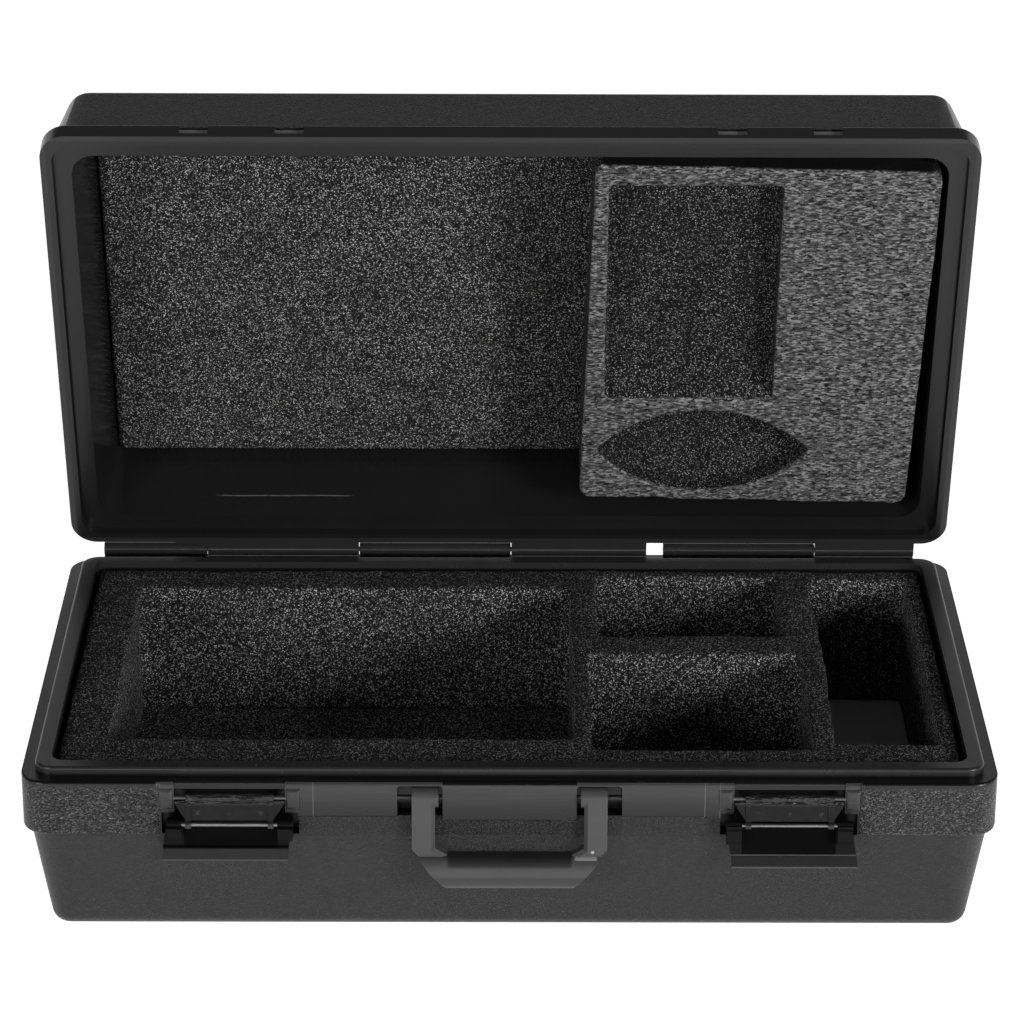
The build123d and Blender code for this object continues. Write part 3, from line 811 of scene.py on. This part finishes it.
# %% The block's slab
BLOCK_FRONT, BLOCK_BACK = 104.8, 155.2
BLOCK_MIDDLE, BLOCK_TURN = Vector((151.6, -4.9, 0)), radians(1.4)
block = slab_sheet("foam_block", -104, 104, -128.5, 128.5, 0)
pick_faces(block)
bpy.ops.mesh.bevel(offset=7 * MM, segments=5, affect="VERTICES")
bpy.ops.object.mode_set(mode="OBJECT")
pick_faces(block)
thicken(BLOCK_BACK - BLOCK_FRONT)
block.rotation_euler = (0, 0, BLOCK_TURN)
block.location = (BLOCK_MIDDLE + Vector((0, 0, BLOCK_FRONT))) * MM
settle(block)
print("block slab has", len(block.data.polygons), "faces")

# %% [markdown]
# ## Cutters
# A pocket is cut with a Boolean modifier: the cutter is a piece with the pocket's own
# form, and it is thrown away afterwards. Its upper face is scaled where a wall slopes.


# %% Cutters
def cutter_box(x0, x1, y0, y1, z0, z1):
    """A box to cut with, in millimetres."""
    bpy.ops.object.select_all(action="DESELECT")
    bpy.ops.mesh.primitive_cube_add(size=1.0)
    cutter = bpy.context.object
    cutter.scale = ((x1 - x0) * MM, (y1 - y0) * MM, (z1 - z0) * MM)
    cutter.location = ((x0 + x1) / 2 * MM, (y0 + y1) / 2 * MM, (z0 + z1) / 2 * MM)
    settle(cutter)
    return cutter


def resize_top(cutter, middle, factors):
    """Scale a cutter's upper face about a point, so that its sides slope."""
    pick_faces(cutter, lambda face: face.normal.z > 0.5)
    bpy.ops.transform.resize(value=factors, center_override=middle)
    bpy.ops.object.mode_set(mode="OBJECT")


def boolean(piece, cutter, operation):
    """Cut or keep a piece with another one, which is then thrown away."""
    apply_modifier(
        piece, "BOOLEAN", operation.lower(), operation=operation, object=cutter, solver="EXACT")
    bpy.data.objects.remove(cutter, do_unlink=True)


print("cutters ready")

# %% [markdown]
# ## The block's pockets
# The near wall of the square pocket slopes from its mouth to its floor, so the cutter's
# upper face is shorter than its lower one. The lens is what two large discs share.

# %% Pockets of the block
POCKET_FLOOR = BLOCK_FRONT + 15.8
FAR_WALL, SLOPE_FOOT, SLOPE_TOP = -120.0, 63.3, 24.6
pocket = cutter_box(59.2, 163.8, FAR_WALL, SLOPE_FOOT, 90, POCKET_FLOOR)
shorter = (SLOPE_TOP - FAR_WALL) / (SLOPE_FOOT - FAR_WALL)
resize_top(pocket, (0, FAR_WALL * MM, 0), (1, shorter, 1))
boolean(block, pocket, "DIFFERENCE")
LENS_MIDDLE, LENS_HALF, LENS_RISE = (121.5, 83.5), 134.9 / 2, 65.0 / 2
DISC_DEPTH = 30.8
arc_radius = (LENS_HALF ** 2 + LENS_RISE ** 2) / (2 * LENS_RISE)
arcs = []
for way in (-1, 1):
    disc_y = LENS_MIDDLE[1] + way * (arc_radius - LENS_RISE)
    bpy.ops.object.select_all(action="DESELECT")
    bpy.ops.mesh.primitive_cylinder_add(
        vertices=160, radius=arc_radius * MM, depth=DISC_DEPTH * MM,
        location=(LENS_MIDDLE[0] * MM, disc_y * MM, (POCKET_FLOOR - DISC_DEPTH / 2) * MM),
    )
    arcs.append(bpy.context.object)
    settle(arcs[-1])
boolean(arcs[0], arcs[1], "INTERSECT")
boolean(block, arcs[0], "DIFFERENCE")
print("pockets cut, block has", len(block.data.polygons), "faces")

# %% [markdown]
# ## Trimming the block
# A tapered box as large as the inside of the lid trims what would stand in the lid's
# wall. The block is softened only now, so that the edges of its pockets are soft too.

# %% Trim and soften the block
MOUTH_X, MOUTH_Y, MOUTH_TOP, DRAFT_START = (-262.0, 261.5), 138.5, 170.0, 107.5
mouth = cutter_box(*MOUTH_X, -MOUTH_Y, MOUTH_Y, 90, MOUTH_TOP)
shrink = (MOUTH_TOP - DRAFT_START) * tan(DRAFT)
half_x, middle_x = (MOUTH_X[1] - MOUTH_X[0]) / 2, (MOUTH_X[0] + MOUTH_X[1]) / 2
resize_top(mouth, (middle_x * MM, 0, 0), (1 - shrink / half_x, 1 - shrink / MOUTH_Y, 1))
boolean(block, mouth, "INTERSECT")
soften(block, 1.7, 0.9, 0.3)
turn_back(block)

# %% [markdown]
# ## The block's skin
# The face of the block still has the skin of the foam, drawn out into pale and dark
# streaks. The pockets show open cells, and the wall against the lid lies in shadow, which
# is painted there as a near black.

# %% Skin of the block
SKIN_END, WALL_SHADE_LINE, EDGE_SLOPE = (0.1062, 0.1072), (-0.1333, -0.1323), 0.0244
STREAK_SCALE = (230, 1150, 1150)
light_foam = foam_finish("light_skinned_foam", 0.005, 0.54, 11.0)
shut = shut_place(light_foam)
x, y, z = shut.axes()
skin = 1 - z.rise(*SKIN_END)
drawn_out = shut.stretch(*STREAK_SCALE)
streaks = drawn_out.noise(1.0, 4.0, 0.75)
grains = drawn_out.stretch(2.0, 1.0, 1.0).cells(1.0, out="Color").axis(0)
tone = (streaks.rise(0.43, 0.60) * 0.46 + (grains ** 6.0) * 1.5).blend(grey(0.006), grey(0.36))
inside = Wire(light_foam.tree, light_foam.shader.inputs["Base Color"].links[0].from_socket)
# Painted shade on the wall that lies against the lid.
painted_wall_shade = 1 - (y - (x - BLOCK_MIDDLE.x * MM) * EDGE_SLOPE).rise(*WALL_SHADE_LINE)
light_foam.feed("Base Color", painted_wall_shade.blend(skin.blend(inside, tone), grey(0.004)))
finish_foam(block, "lid_foam_block", "lid", light_foam)
